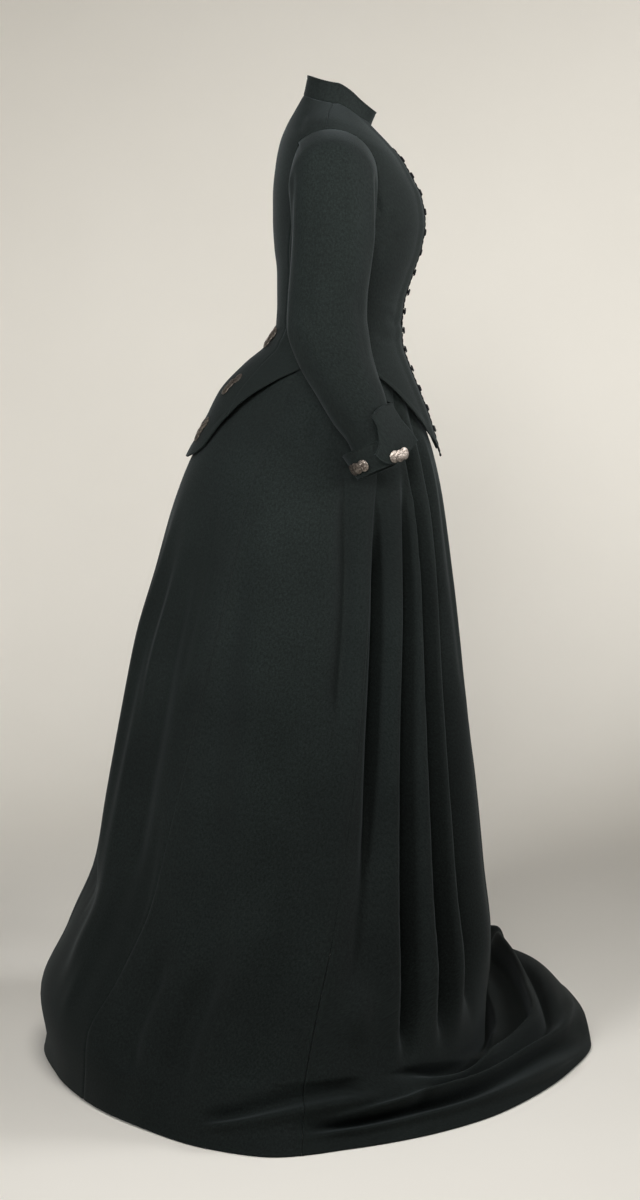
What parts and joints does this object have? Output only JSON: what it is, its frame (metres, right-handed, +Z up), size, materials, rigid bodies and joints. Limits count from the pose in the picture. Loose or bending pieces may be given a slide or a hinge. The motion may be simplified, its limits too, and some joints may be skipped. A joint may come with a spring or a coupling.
{
  "type": "riding habit",
  "caption": "Dark wool riding habit: a closed jacket with a stand collar, turned-back cuffs and a button-trimmed tail, over a long trained skirt.",
  "frame": {"origin": "middle of the waist, where the wearer holds the habit up", "axes": "+Z up, -Y the wearer's front, -X the wearer's right"},
  "size_m": [1.046, 0.8675, 1.5058],
  "materials": {
    "wool": "matt brushed wool broadcloth, dark blue-green black",
    "jet": "dark satin with low lumpy relief",
    "silvered_metal": "worn pinkish silver with a rosette relief"
  },
  "bodies": {
    "root": {"jacket_front_right": "wool", "jacket_side_right": "wool", "jacket_side_back_right": "wool", "jacket_back_right": "wool", "jacket_front_left": "wool", "jacket_side_left": "wool", "jacket_side_back_left": "wool", "jacket_back_left": "wool", "collar": "wool", "sleeve_upper_right": "wool", "sleeve_under_right": "wool", "cuff_band_right": "wool", "cuff_flap_right": "wool", "sleeve_upper_left": "wool", "sleeve_under_left": "wool", "cuff_band_left": "wool", "cuff_flap_left": "wool", "front_button_1": "jet", "front_button_2": "jet", "front_button_3": "jet", "front_button_4": "jet", "front_button_5": "jet", "front_button_6": "jet", "front_button_7": "jet", "front_button_8": "jet", "front_button_9": "jet", "front_button_10": "jet", "front_button_11": "jet", "front_button_12": "jet", "front_button_13": "jet", "front_button_14": "jet", "front_button_15": "jet", "tail_buttons_waist_right": "silvered_metal", "tail_buttons_middle_right": "silvered_metal", "tail_buttons_low_right": "silvered_metal", "cuff_flap_buttons_right": "silvered_metal", "cuff_band_buttons_right": "silvered_metal", "tail_buttons_waist_left": "silvered_metal", "tail_buttons_middle_left": "silvered_metal", "tail_buttons_low_left": "silvered_metal", "cuff_flap_buttons_left": "silvered_metal", "cuff_band_buttons_left": "silvered_metal", "waistband": "wool", "skirt_front": "wool", "skirt_side_right": "wool", "skirt_back_right": "wool", "skirt_back_left": "wool", "skirt_side_left": "wool"}
  },
  "joints": []
}
